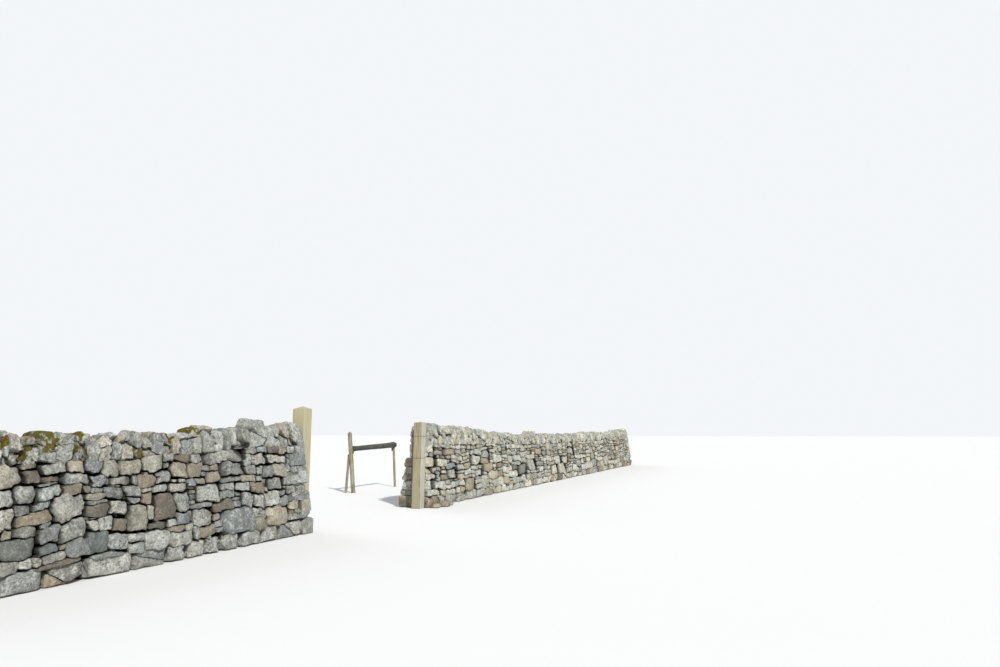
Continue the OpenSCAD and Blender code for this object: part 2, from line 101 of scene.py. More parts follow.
# Stones that stand out in the left-hand front face: left end, bed, length, height (m) and kind
FEATURES = [
    (-4.99, 0.32, 0.39, 0.20, "green_grey"), (-4.60, 0.32, 0.21, 0.11, "green_grey"),
    (-4.45, 0.54, 0.39, 0.29, "pale"), (-4.85, 0.61, 0.40, 0.12, "tan"),
    (-4.32, 0.22, 0.32, 0.14, "blue_grey"), (-4.07, 0.24, 0.27, 0.18, "green_grey"),
    (-3.84, 1.04, 0.24, 0.15, "buff"), (-3.59, 1.03, 0.33, 0.15, "buff"),
    (-3.75, 0.93, 0.33, 0.10, "buff"), (-4.77, 0.98, 0.21, 0.15, "umber"),
    (-4.63, 0.82, 0.30, 0.13, "pale"), (-4.33, 0.82, 0.22, 0.11, "brown"),
    (-3.83, 0.76, 0.25, 0.16, "blue_grey"), (-4.06, 0.55, 0.27, 0.15, "umber"),
    (-3.35, 0.65, 0.20, 0.15, "tan"), (-3.16, 0.50, 0.31, 0.27, "umber"),
    (-2.84, 0.42, 0.26, 0.14, "blue_grey"), (-2.55, 0.36, 0.37, 0.18, "grey"),
    (-2.18, 0.45, 0.31, 0.13, "umber"), (-2.45, 0.60, 0.40, 0.23, "pale"),
    (-2.59, 0.91, 0.23, 0.20, "tan"), (-2.04, 0.87, 0.47, 0.18, "grey"),
    (-2.33, 1.06, 0.80, 0.15, "grey"), (-1.13, 0.97, 0.50, 0.15, "pale"),
    (-1.10, 0.67, 0.36, 0.15, "blue_grey"), (-2.46, 0.22, 0.31, 0.13, "tan"),
]


# Noise: smooth values from -1 to 1 on a seeded lattice, for whole arrays of points
def lattice(ix, iy, iz, seed):
    n = ix * 374761393 + iy * 668265263 + iz * 2147483647 + seed * 1274126177
    n = (n ^ (n >> 13)) * 1274126177
    n = n ^ (n >> 16)
    return (n & 0xFFFF) / 32767.5 - 1.0


def noise(points, size, seed):
    q = points / size
    base = np.floor(q).astype(np.int64)
    f = q - base
    f = f * f * (3 - 2 * f)
    total = np.zeros(len(points))
    for step in np.ndindex(2, 2, 2):
        near = np.where(step, f, 1 - f)
        total += near[:, 0] * near[:, 1] * near[:, 2] * lattice(*(base + step).T, seed)
    return total


@functools.cache
def skin(nx, nz, nd, full_back=False):
    """The skin of a block: a grid on the front, bands round the sides, and a grid or one face behind."""
    index, points, faces = {}, [], []
    across, up, back = np.eye(3, dtype=int)

    def at(i, j, k):
        key = (i, j, k)
        if key not in index:
            index[key] = len(points)
            points.append((2 * i / nx - 1, 2 * k / nd - 1, 2 * j / nz - 1))
        return index[key]

    def quad(corner, first, second):
        faces.append(tuple(at(*(corner + step)) for step in (0 * first, first, first + second, second)))

    for i in range(nx):
        for j in range(nz):
            quad((i, j, nd), up, across)
            if full_back:
                quad((i, j, 0), across, up)
    for k in range(nd):
        for i in range(nx):
            quad((i, 0, k), back, across)
            quad((i, nz, k), across, back)
        for j in range(nz):
            quad((0, j, k), up, back)
            quad((nx, j, k), back, up)
    if not full_back:
        ring = [at(i, 0, 0) for i in range(nx)] + [at(nx, j, 0) for j in range(nz)]
        ring += [at(i, nz, 0) for i in range(nx, 0, -1)] + [at(0, j, 0) for j in range(nz, 0, -1)]
        faces.append(tuple(ring))
    return np.array(points), faces


def middle_of(points):
    return (points.min(0) + points.max(0)) / 2


def placed(name, data):
    thing = bpy.data.objects.new(name, data)
    bpy.context.scene.collection.objects.link(thing)
    return thing


def new_object(name, points, faces, material, sharp):
    """A smooth object whose edges stay sharp past this many degrees."""
    mesh = bpy.data.meshes.new(name)
    mesh.from_pydata(points.tolist(), [], faces)
    mesh.materials.append(material)
    mesh.shade_smooth()
    mesh.set_sharp_from_angle(angle=math.radians(sharp))
    return placed(name, mesh)


def finish_piece(piece, slot, *nodes):
    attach(piece, "root")
    if nodes:
        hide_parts(*nodes)


class Pile:
    """Collects stones into one mesh, with each stone's colour, its dirt and painted shade in the joints,
    and its growth kept on its points.
    """

    def __init__(self):
        self.points, self.faces, self.colours, self.marks = [], [], [], []
        self.count = 0

    def add(self, points, faces, colour, clean_and_unshaded, mark):
        n = len(points)
        self.points.append(points)
        self.faces.extend(tuple(i + self.count for i in f) for f in faces)
        self.colours.append(np.column_stack([np.tile(colour, (n, 1)), clean_and_unshaded]))
        self.marks.append(np.broadcast_to(mark, (n, 4)))
        self.count += n

    def build(self, name, slot, node):
        piece = new_object(name, np.vstack(self.points), self.faces, STONE, 30)
        for label, rows in (("stone_tone_and_shade", self.colours), ("stone_mark", self.marks)):
            layer = piece.data.attributes.new(label, "FLOAT_COLOR", "POINT")
            layer.data.foreach_set("color", np.vstack(rows).astype(np.float32).ravel())
        finish_piece(piece, slot, node)


# How far the noise of one seed lies from the next seed's (m), and how many seeds stones draw from
SEED_STEP = 7.31
SEEDS = 1000
# Ruggedness that is kept as 1 on a stone's points
MOST_RUGGED = 1.5
# Noise on a hewn stone: strength, size (m) and seed
DENTS = [(0.5, 0.085, 3), (0.45, 0.042, 5), (0.3, 0.021, 9)]


def worn(directions, normals, reaches, roundness):
    """Distance in each direction to the skin of a block between planes, with its edges worn round."""
    share = np.maximum(directions @ normals.T, 0.0) / reaches
    return (share ** roundness).sum(1) ** (-1.0 / roundness)


def chips(rng, half, count, low, high):
    """Planes that knock off corners of a block with these half sizes."""
    n = rng.normal(size=(count, 3)) / half
    n /= np.linalg.norm(n, axis=1)[:, None]
    return n, np.abs(n) @ half * rng.uniform(low, high, count)


def hewn(rng, body, directions, roundness, rough, chip):
    """Points of a stone that stays inside the planes of its body."""
    seed = rng.integers(SEEDS)
    reaches = body.reaches()
    keep = reaches > 0.1 * body.half.min()
    d = directions * body.half
    d /= np.linalg.norm(d, axis=1)[:, None]
    cut_n, cut_r = chips(rng, body.half, chip, 0.6, 0.9)
    normals = np.vstack([body.planes[keep, :3], cut_n])
    r = worn(d, normals, np.concatenate([reaches[keep], cut_r]), roundness)
    where = d * r[:, None] + body.centre + seed * SEED_STEP
    dent = sum(strength * noise(where, size, key) for strength, size, key in DENTS)
    return body.centre + d * (r - rough * (1.0 + dent))[:, None]


def pick_kind(rng, tint, choice=None):
    """A stone's colour, and its marks: lichen and how rough it is. The choice is one kind or a few."""
    names = [choice] if isinstance(choice, str) else list(choice or KINDS)
    odds = np.array([KINDS[k][1] for k in names])
    name = names[rng.choice(len(names), p=odds / odds.sum())]
    colour, _, lichen, rough = KINDS[name]
    warm = rng.normal() * 0.025
    colour = np.array(colour) * rng.uniform(0.84, 1.12) * (1 + np.array([warm, 0.0, -warm])) * tint
    return colour, lichen * rng.uniform(0.35, 1.0), rough * rng.uniform(0.8, 1.2)


def islands(node):
    """CAD solids of a node: each one's points, and the planes that bound it."""
    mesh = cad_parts[node].data
    mesh.calc_loop_triangles()
    points = np.array([v.co for v in mesh.vertices], float)
    keys, inverse = np.unique(np.round(points, 5), axis=0, return_inverse=True)
    tri = inverse.ravel()[np.array([t.vertices for t in mesh.loop_triangles])]
    group = np.arange(len(keys))
    while True:
        low = group[tri].min(1)
        new = group.copy()
        for c in range(3):
            np.minimum.at(new, tri[:, c], low)
        if (new == group).all():
            break
        group = new
    found = []
    for g in np.unique(group[tri[:, 0]]):
        own = tri[group[tri[:, 0]] == g]
        a, b, c = (keys[own[:, i]] for i in range(3))
        n = np.cross(b - a, c - a)
        area = np.linalg.norm(n, axis=1)
        keep = area > 1e-8
        n = n[keep] / area[keep][:, None]
        offset = (n * a[keep]).sum(1)
        planes = np.unique(np.round(np.hstack([n, offset[:, None]]), 3), axis=0)
        found.append((keys[np.unique(own)], planes))
    return found


def within(points, planes):
    """Those of the points that lie inside all of the planes."""
    return points[(points @ planes[:, :3].T < planes[:, 3]).all(1)]


# A plane counts as a bed or a top where its normal is as upright as this
LEVEL = 0.9
# The parts of a split stone: how their cut strays, how far they overlap (m), and samples that one needs
SLANT_SPREAD = 0.28
SPLIT_LAP = 0.007
LEAST_SAMPLES = 60
# A solid has lost a corner where it reaches past one of its own planes by this much (m)
CORNER_GONE = 0.02


class Body:
    """A convex block to hew a stone from: its middle, half its size, and the planes round it."""

    def __init__(self, inside, planes, centre=None):
        self.centre = middle_of(inside) if centre is None else centre
        self.half = (inside.max(0) - inside.min(0)) / 2
        self.planes = planes

    def reaches(self):
        """How far each plane lies from the middle."""
        return self.planes[:, 3] - self.planes[:, :3] @ self.centre

    def bounded(self, planes):
        return Body(np.array([self.centre - self.half, self.centre + self.half]), planes)

    def sunk(self, depth, both):
        """The same body with its bed moved into the stones below, but not into the floor."""
        planes = self.planes.copy()
        planes[(planes[:, 2] < -LEVEL) & (planes[:, 3] < -0.001), 3] += depth
        if both:
            planes[planes[:, 2] > LEVEL, 3] += depth
        return self.bounded(planes)

    def pulled(self, kept):
        """The same body with each plane at its share of the distance from the middle."""
        planes = self.planes.copy()
        planes[:, 3] -= self.reaches() * (1 - kept)
        return self.bounded(planes)

    def eased(self, least, rng):
        """The same body with its sides pulled in, its top only a little, and its bed not at all."""
        kept = rng.uniform(least, 1.0, len(self.planes))
        top = self.planes[:, 2] > 0.6
        kept[top] = 1 - 0.3 * (1 - kept[top])
        kept[self.planes[:, 2] < -0.5] = 1
        return self.pulled(kept)

    def split(self, rng, slant):
        """Two bodies on either side of a plane near the middle, whose normal lies near the slant."""
        normal = np.array(slant) + rng.normal(size=3) * SLANT_SPREAD
        normal /= np.linalg.norm(normal)
        offset = normal @ (self.centre + rng.uniform(-0.2, 0.2, 3) * self.half)
        inside = within(self.centre + rng.uniform(-1, 1, (1500, 3)) * self.half, self.planes)
        parts = []
        for side in (1, -1):
            own = inside[side * (inside @ normal - offset) < 0]
            if len(own) < LEAST_SAMPLES:
                return [self]
            planes = np.vstack([self.planes, np.append(side * normal, side * offset + SPLIT_LAP)])
            parts.append(Body(own, planes, own.mean(0)))
        return parts


def convex_parts(points, planes):
    """The convex bodies that make up a solid: one, or two where a corner is gone from it."""
    beyond = (points @ planes[:, :3].T - planes[:, 3]).max(0) > CORNER_GONE
    inner = planes[beyond]
    if len(inner) < 2:
        return [Body(points, planes)]
    across = inner[np.argmax(np.abs(inner[:, 1]))]
    along = inner[np.argmin(np.abs(inner[:, :3] @ across[:3]))]
    parts = []
    for extra in ([across], [along, -across]):
        own = np.vstack([planes[~beyond], extra])
        samples = np.random.default_rng(7).uniform(points.min(0), points.max(0), (6000, 3))
        parts.append(Body(within(samples, own), own))
    return parts


def swayed(rng, points, pivot, degrees):
    """Points turned about a pivot by small angles round each axis."""
    a, b, c = np.radians(rng.normal(size=3) * degrees)
    turn = np.array([[1, -c, b], [c, 1, -a], [-b, a, 1]])
    turn, _ = np.linalg.qr(turn)
    turn *= np.sign(np.diag(turn))
    return pivot + (points - pivot) @ turn.T


def past(share, start):
    """0 up to the start, and from there up to 1 where the share is 1."""
    return np.clip((share - start) / (1 - start), 0, 1)


def island_stone(pile, rng, body, grid, tint, roundness, rough, chip, sway=0.0, kinds=None, moss=None):
    """A stone hewn from a body. It is painted dark where its sides and its bed meet other stones: dirt, and
    painted shade.
    """
    directions, faces = skin(grid, grid, grid, True)
    colour, lichen, rugged = pick_kind(rng, tint, kinds)
    shape = hewn(rng, body, directions, roundness, rough * (0.5 + 0.6 * rugged), chip)
    off = shape - body.centre
    rim = np.abs(off).max(0)
    # Dirt and painted shade: darker towards its ends and its bed, where it meets other stones
    clean_and_unshaded = (1 - 0.7 * past(np.abs(off[:, 0]) / rim[0], 0.8)) * (1 - 0.8 * past(-off[:, 2] / rim[2], 0.75))
    if sway:
        shape = swayed(rng, shape, body.centre - (0, 0, 0.7 * body.half[2]), sway)
    marks = np.empty((len(shape), 4))
    marks[:] = lichen, 0.0, rng.random(), min(rugged / MOST_RUGGED, 1.0)
    if moss:
        marks[:, 1] = moss(shape)
    pile.add(shape, faces, colour, clean_and_unshaded, marks)


# Lengths of face stones in cells, and how often each comes
STONE_LENGTHS = [14, 19, 25, 32, 41, 54]
STONE_SHARES = [0.15, 0.25, 0.26, 0.20, 0.10, 0.04]
SHORTEST = 10
LONGEST = 60
TALLEST = 27
# Least height of a stone, and of one that can be laid at all
FLATTEST = 6
THINNEST = 5
# Least room to leave above a stone for the next
LEAST_ROOM = 7
# A stone takes its neighbour's height when it is as near to it as this
LEVELLING = 4
# A stone longer than this is moved on where its end would carry on the joint below
BOND_LENGTH = 9
BOND_SHIFT = 5
# Cells between the bends of a crooked joint
CROOK = 8


def lay(rng, x0, x1, z0, top, taken, long, flat):
    """Rectangles of cells between x0 and x1, from z0 up to top(x), round the places that are taken.
    A place is left end, right end, bed and top, in metres. The lowest open place is filled first."""
    nx = round((x1 - x0) / CELL)
    nz = round((max(top(x0), top(x1)) - z0) / CELL) + 2
    full = np.zeros((nx, nz + 1), bool)
    full[:, nz] = True
    for i in range(nx):
        full[i, max(0, round((top(x0 + (i + 0.5) * CELL) - z0) / CELL)):] = True
    for a, b, c, d in taken:
        i0, i1 = max(0, round((a - x0) / CELL)), min(nx, round((b - x0) / CELL))
        j0, j1 = max(0, round((c - z0) / CELL)), round((d - z0) / CELL)
        if i1 > i0 and j1 > j0:
            full[i0:i1, j0:j1] = True
    low = np.argmin(full, axis=1)
    low[full.all(1)] = nz
    joint = np.full(nx + 1, -10)
    stones = []
    while low.min() < nz:
        level = int(low.min())
        start = int(np.argmin(low))
        stop = start
        while stop < nx and low[stop] == level:
            stop += 1
        run = stop - start
        rise = level / nz
        w = rng.choice(STONE_LENGTHS, p=STONE_SHARES) * rng.uniform(0.85, 1.15)
        w = int(w * (1.25 - 0.4 * rise) * long)
        if run - w < SHORTEST:
            w = run if run <= LONGEST * long else run // 2
        from_left = rng.random() < 0.5
        edge = start + w if from_left else stop - w
        if BOND_LENGTH < w < run - SHORTEST - 2 and level - joint[edge] < 2:
            w += BOND_SHIFT
        i0 = start if from_left else stop - w
        i1 = i0 + w
        room = min(int(np.argmax(full[i, level:])) for i in range(i0, i1))
        h = int(w * rng.uniform(0.36, 0.76) * (1.1 - 0.25 * rise) * flat)
        h = max(FLATTEST, min(h, TALLEST))
        walls = [int(low[s]) - level for s in (i0 - 1, i1) if 0 <= s < nx and low[s] > level]
        for wall in walls:
            if abs(wall - h) <= LEVELLING and wall >= THINNEST:
                h = wall
        if w < SHORTEST and walls:
            h = min(walls + [w + 3])
        if room - h < LEAST_ROOM:
            h = room if room < 1.6 * h + 4 else room // 2
        h = max(1, min(h, room))
        full[i0:i1, level:level + h] = True
        joint[i0] = joint[i1] = level + h
        for i in range(i0, i1):
            column = full[i, level:]
            low[i] = nz if column.all() else level + int(np.argmin(column))
        stones.append((i0, level, w, h))
    return merged(stones)


def merged(stones):
    """Joins a stone that is too thin to lay to a neighbour with which it makes a full rectangle."""
    cells = {(i, j): (w, h) for i, j, w, h in stones}
    for i, j, w, h in sorted(stones, key=lambda s: s[2] * s[3]):
        if (i, j) not in cells or min(w, h) >= THINNEST or cells[i, j] != (w, h):
            continue
        for (a, b), (c, d) in list(cells.items()):
            if (a, b) == (i, j) or c + w > LONGEST and b == j:
                continue
            beside = b == j and d == h and (a + c == i or i + w == a)
            above = a == i and c == w and (b + d == j or j + h == b)
            if beside or above:
                del cells[i, j], cells[a, b]
                cells[min(i, a), min(j, b)] = (w + c, h) if beside else (w, h + d)
                break
    return [(i, j, w, h) for (i, j), (w, h) in cells.items()]


def bends(low, size):
    """Both ends of an edge, and the cells between where it may bend."""
    return {low, low + size} | {a for a in range(low, low + size) if a % CROOK == 0}


def outlines(stones, wander):
    """Each stone's outline through every corner on its edges, so that neighbours share crooked joints."""
    rows, columns = defaultdict(set), defaultdict(set)
    for i, j, w, h in stones:
        for b in (j, j + h):
            rows[b] |= bends(i, w)
        for a in (i, i + w):
            columns[a] |= bends(j, h)
    rings, slack = [], {}
    for i, j, w, h in stones:
        ring = [(a, j) for a in sorted(rows[j]) if i <= a < i + w]
        ring += [(i + w, b) for b in sorted(columns[i + w]) if j <= b < j + h]
        ring += [(a, j + h) for a in sorted(rows[j + h], reverse=True) if i < a <= i + w]
        ring += [(i, b) for b in sorted(columns[i], reverse=True) if j < b <= j + h]
        rings.append(ring)
        for corner in ring:
            slack[corner] = min(slack.get(corner, w), w, h)
    return [wander(np.array(ring), np.array([slack[corner] for corner in ring])) for ring in rings]


# Directions in which an outline is measured, and how many to each side its corners are worn over
RAYS = 72
SOFT = 2


def crossed(p, q):
    return p[..., 0] * q[..., 1] - p[..., 1] * q[..., 0]


def radius(outline, centre):
    """Distance from the centre to an outline in each direction, with the corners worn."""
    angles = np.arange(RAYS) * 2 * math.pi / RAYS
    rays = np.column_stack([np.cos(angles), np.sin(angles)])[:, None]
    a = outline - centre
    edge = np.roll(a, -1, axis=0) - a
    turn = crossed(rays, edge)
    turn = np.where(np.abs(turn) < 1e-9, 1e-9, turn)
    far = crossed(a, edge) / turn
    part = crossed(a, rays) / turn
    r = np.where((far > 0) & (part >= -1e-6) & (part <= 1 + 1e-6), far, np.inf).min(1)
    r[~np.isfinite(r)] = np.nanmedian(r[np.isfinite(r)])
    weights = np.exp(-0.5 * (np.arange(-SOFT, SOFT + 1) / (SOFT * 0.55)) ** 2)
    weights /= weights.sum()
    worn_r = sum(weights[k + SOFT] * np.roll(r, k) for k in range(-SOFT, SOFT + 1))
    return np.minimum(worn_r, r)


# Roods near enough for the small wedges in their joints to show, and how many of their stones have one
PINNED = ["left", "near"]
PIN_SHARE = 0.8


class Face:
    """The plane of a built face: side is -1 on the track side and 1 on the field side."""

    def __init__(self, node, side):
        points = islands(node)[0][0] * (1, side, 1)
        self.side = side
        foot = points[points[:, 2] < points[:, 2].min() + 0.002]
        crown = points[points[:, 2] > points[:, 2].max() - 0.002]
        self.foot_z, self.foot_y = foot[0, 2], foot[:, 1].max()
        self.slope = (crown[:, 1].max() - self.foot_y) / (crown[0, 2] - self.foot_z)

    def place(self, local):
        y = self.foot_y + self.slope * (local[:, 2] - self.foot_z) + local[:, 1]
        return np.column_stack([local[:, 0], self.side * y, local[:, 2]])


# How deep a face stone is built in, and how far it may stay back from a joint's middle (m)
STONE_DEPTH = 0.125
JOINT = 0.015
# How far stones stand proud of the face: by chance, and more for big ones (m), which are this large (m2)
UNEVEN = 0.014
BIG_PROUD = 0.022
BIG_STONE = 0.06
# Planes that shape a stone's front, and how much they slope
FRONT_PLANES = 5
FRONT_SLOPE = 0.3
# Above this length to height, a stone's front slopes less, or its ends would fall back into the wall
LONG_STONE = 2.2
FRONT_CHIPS = 3
# How far the lowest course comes forward, to stand over the footings
FOOT_STEP = 0.02


def face_stone(pile, rng, face, outline, grid, tint, kind=None, recess=0.0):
    """A stone of a face, from its middle out to the outline, with its front broken to planes."""
    centre = outline.mean(0) * 0.5 + (outline.min(0) + outline.max(0)) * 0.25
    w, h = outline.max(0) - outline.min(0)
    small = min(w, h)
    colour, lichen, rugged = pick_kind(rng, tint, kind)
    reach = np.maximum(radius(outline, centre) - JOINT * rng.uniform(0.0, 1.3) ** 2, 0.3 * small)
    base, faces = skin(*grid)
    deep = STONE_DEPTH / 2
    d = base * (w / 2, deep, h / 2)
    d = d / np.linalg.norm(d, axis=1)[:, None]
    flat = np.hypot(d[:, 0], d[:, 2])
    angle = np.arctan2(d[:, 2], d[:, 0]) % (2 * math.pi)
    side = np.interp(angle, np.linspace(0, 2 * math.pi, len(reach) + 1), np.append(reach, reach[0]))
    taper = 1 - np.clip(-base[:, 1], 0, 1) * rng.uniform(0.05, 0.22)
    proud = rng.uniform(-UNEVEN, UNEVEN) + BIG_PROUD * min(w * h / BIG_STONE, 1.0) - recess
    proud += FOOT_STEP * float(np.clip((face.foot_z + 0.24 - centre[1]) / 0.14, 0, 1))
    front = deep + proud
    power = rng.uniform(12, 34)
    share = (flat / (side * taper)) ** power
    share += (np.maximum(-d[:, 1], 0) / deep) ** power
    steep = FRONT_SLOPE * np.minimum(LONG_STONE * small / np.array([w, h]), 1.0)
    for _ in range(FRONT_PLANES):
        tilt = rng.normal(size=2) * steep
        n = np.array([tilt[0], 1.0, tilt[1]])
        n /= np.linalg.norm(n)
        away = front * rng.uniform(0.93, 1.03) + 0.32 * small * np.hypot(*tilt)
        share += (np.maximum(d @ n, 0) / away) ** power
    cut_n, cut_r = chips(rng, np.array([w / 2, front, h / 2]), FRONT_CHIPS, 0.66, 0.95)
    share += ((np.maximum(d @ cut_n.T, 0) / cut_r) ** power).sum(1)
    r = share ** (-1 / power)
    local = np.array([centre[0], -deep, centre[1]])
    where = local + d * r[:, None] + rng.integers(SEEDS) * SEED_STEP
    lumps = 0.55 * noise(where, 0.5 * small + 0.02, 3)
    dents = 0.6 * noise(where, 0.06, 5) + 0.5 * noise(where, 0.03, 9)
    r = r - (0.002 + 0.062 * small * rugged) * np.maximum(0.4 + lumps + dents, -0.15)
    shape = local + d * np.maximum(r, 0.004)[:, None]
    # Dirt and painted shade: darker towards the back of the stone, where it goes into the joints
    clean_and_unshaded = np.clip((shape[:, 1] + 0.034) / 0.044, 0, 1)
    if face.side < 0:
        faces = [tuple(reversed(f)) for f in faces]
    mark = (lichen, 0.0, rng.random(), min(rugged / MOST_RUGGED, 1.0))
    pile.add(face.place(shape), faces, colour, clean_and_unshaded, mark)


def pinning(pile, rng, face, corner, tint):
    """A small wedge of stone driven into the joint where stones meet."""
    count = rng.integers(4, 7)
    angles = np.sort(rng.uniform(0, 2 * math.pi, count)) * 0.4 + np.arange(count) * 1.2 * math.pi / count
    spread = rng.uniform(0.014, 0.032) * rng.uniform(0.7, 1.2, count)
    outline = corner + np.column_stack([np.cos(angles) * spread * 1.4, np.sin(angles) * spread])
    face_stone(pile, rng, face, outline, WEDGE_GRID, tint, None, rng.uniform(0.02, 0.045))


def top_line(names):
    """Height of the walling along a stretch, from the tops of its hearting."""
    knots = []
    for name in names:
        points = islands(name + "_hearting")[0][0]
        for x in (points[:, 0].min(), points[:, 0].max()):
            knots.append((x, points[np.abs(points[:, 0] - x) < 0.3][:, 2].max()))
    xs, zs = zip(*sorted(knots))
    return lambda x: float(np.interp(x, xs, zs))


def build_face(names, ends, side, grids, seed, long=1.0, flat=1.0, features=()):
    """All stones of one side of a stretch, as one piece for each of its roods."""
    word = "front" if side < 0 else "back"
    nodes = [f"{n}_{word}_face" for n in names]
    boxes = [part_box(n) for n in nodes]
    taken = []
    low_x, high_x = boxes[0][0].x, boxes[-1][1].x
    for end in ends:
        tie_low, tie_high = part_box(end + "_ties")
        tip = tie_low.x if tie_low.x < low_x else tie_high.x
        low_x, high_x = min(low_x, tip), max(high_x, tip)
        for part in ("ties", "runners"):
            for points, _ in islands(f"{end}_{part}"):
                if part == "runners" and points[:, 1].mean() * side < 0.02 * side:
                    continue
                lo, hi = points.min(0), points.max(0)
                taken.append((min(lo[0], tip), max(hi[0], tip), lo[2], hi[2]))
    face = Face(nodes[0], side)
    top = top_line(names)
    rng = np.random.default_rng(seed)
    kinds = [kind for *place, kind in features]
    stones = [
        tuple(round(v / CELL) for v in (x - low_x, max(0, z - face.foot_z), w, h))
        for x, z, w, h, kind in features
    ]
    places = [
        (low_x + i * CELL, low_x + (i + w) * CELL, face.foot_z + j * CELL, face.foot_z + (j + h) * CELL)
        for i, j, w, h in stones
    ]
    stones += lay(rng, low_x, high_x, face.foot_z, top, taken + places, long, flat)
    kinds += [None] * (len(stones) - len(kinds))
    bonded = [(a - 0.01, b + 0.01, c - 0.01, d + 0.01) for a, b, c, d in taken]

    def wander(ring, slack):
        """Corners in metres, moved off the level by a drift that neighbouring stones share."""
        at = np.column_stack([low_x + ring[:, 0] * CELL, face.foot_z + ring[:, 1] * CELL])
        still = np.minimum(at[:, 0] - low_x, high_x - at[:, 0]) < 0.01
        foot = at[:, 1] < face.foot_z + 0.01
        for a, b, c, d in bonded:
            still |= (at[:, 0] > a) & (at[:, 0] < b) & (at[:, 1] > c) & (at[:, 1] < d)
        capped = at[:, 1] > np.array([top(x) for x in at[:, 0]]) - 0.025
        p = np.column_stack([at[:, 0], np.zeros(len(at)), at[:, 1] * 1.15])
        dx = 0.035 * noise(p, 0.45, 61) + 0.02 * noise(p, 0.19, 63)
        dz = 0.045 * noise(p, 0.6, 67) + 0.024 * noise(p, 0.21, 69)
        a, b = ring.T
        jitter = np.column_stack([lattice(a, b, 0, 71), 0.8 * lattice(a, b, 0, 73)])
        move = np.column_stack([dx, dz]) + jitter * np.minimum(0.28 * slack * CELL, 0.042)[:, None]
        move[foot, 1] = -0.03 + 0.6 * np.clip(move[foot, 1], -0.04, 0.04)
        move[still] = 0
        move[capped, 1] = np.clip(move[capped, 1], -0.015, 0.03)
        return at + move

    piles = {n: Pile() for n in names}
    starts = [b[0].x for b in boxes[1:]]
    for outline, kind in zip(outlines(stones, wander), kinds):
        name = names[int(np.searchsorted(starts, outline[:, 0].mean()))]
        face_stone(piles[name], rng, face, outline, grids[name], TINTS[name], kind)
        if name in PINNED and rng.random() < PIN_SHARE:
            pinning(piles[name], rng, face, outline[rng.integers(len(outline))], TINTS[name])
    for name, node in zip(names, nodes):
        piles[name].build(f"{name}_{word}_stones", "walling", node)


def build_islands(
    node, grid, seed, slot, roundness, rough, chip,
    sink=0.0, split=None, ease=1.0, sway=0.0, kinds=None, moss=None,
):
    """Stones hewn from a node's own solids. Split gives how many cuts a solid gets, and their slants."""
    rng = np.random.default_rng(seed)
    stretch = "left" if node.startswith("left") else "near"
    tint = np.array(TINTS[stretch])
    if slot == "cope":
        tint *= COPE_PALER[stretch]
    pile = Pile()
    for body in [part for solid in islands(node) for part in convex_parts(*solid)]:
        body = body.sunk(sink * (rng.uniform(0.4, 2.2) if slot == "cope" else 1.0), slot == "walling")
        bodies = [body]
        for cut in range(split[0](body.centre, rng) if split else 0):
            biggest = max(range(len(bodies)), key=lambda k: np.prod(bodies[k].half))
            bodies += bodies.pop(biggest).split(rng, split[1][(cut + rng.integers(2)) % len(split[1])])
        lean = sway * len(bodies) ** 0.5
        for part in bodies:
            part = part.eased(ease, rng)
            worn_by = rng.uniform(*roundness)
            island_stone(pile, rng, part, grid, tint, worn_by, rough, chip, lean, kinds, moss)
        if len(bodies) > 1:
            packing = body.pulled(np.where(body.planes[:, 2] < -LEVEL, 1.0, PACKING_KEPT))
            island_stone(
                pile, rng, packing, PACKING_GRID, tint * PACKING_SHADE, roundness=12.0, rough=rough, chip=1,
                kinds=kinds,
            )
    pile.build(node + "_stones", slot, node)


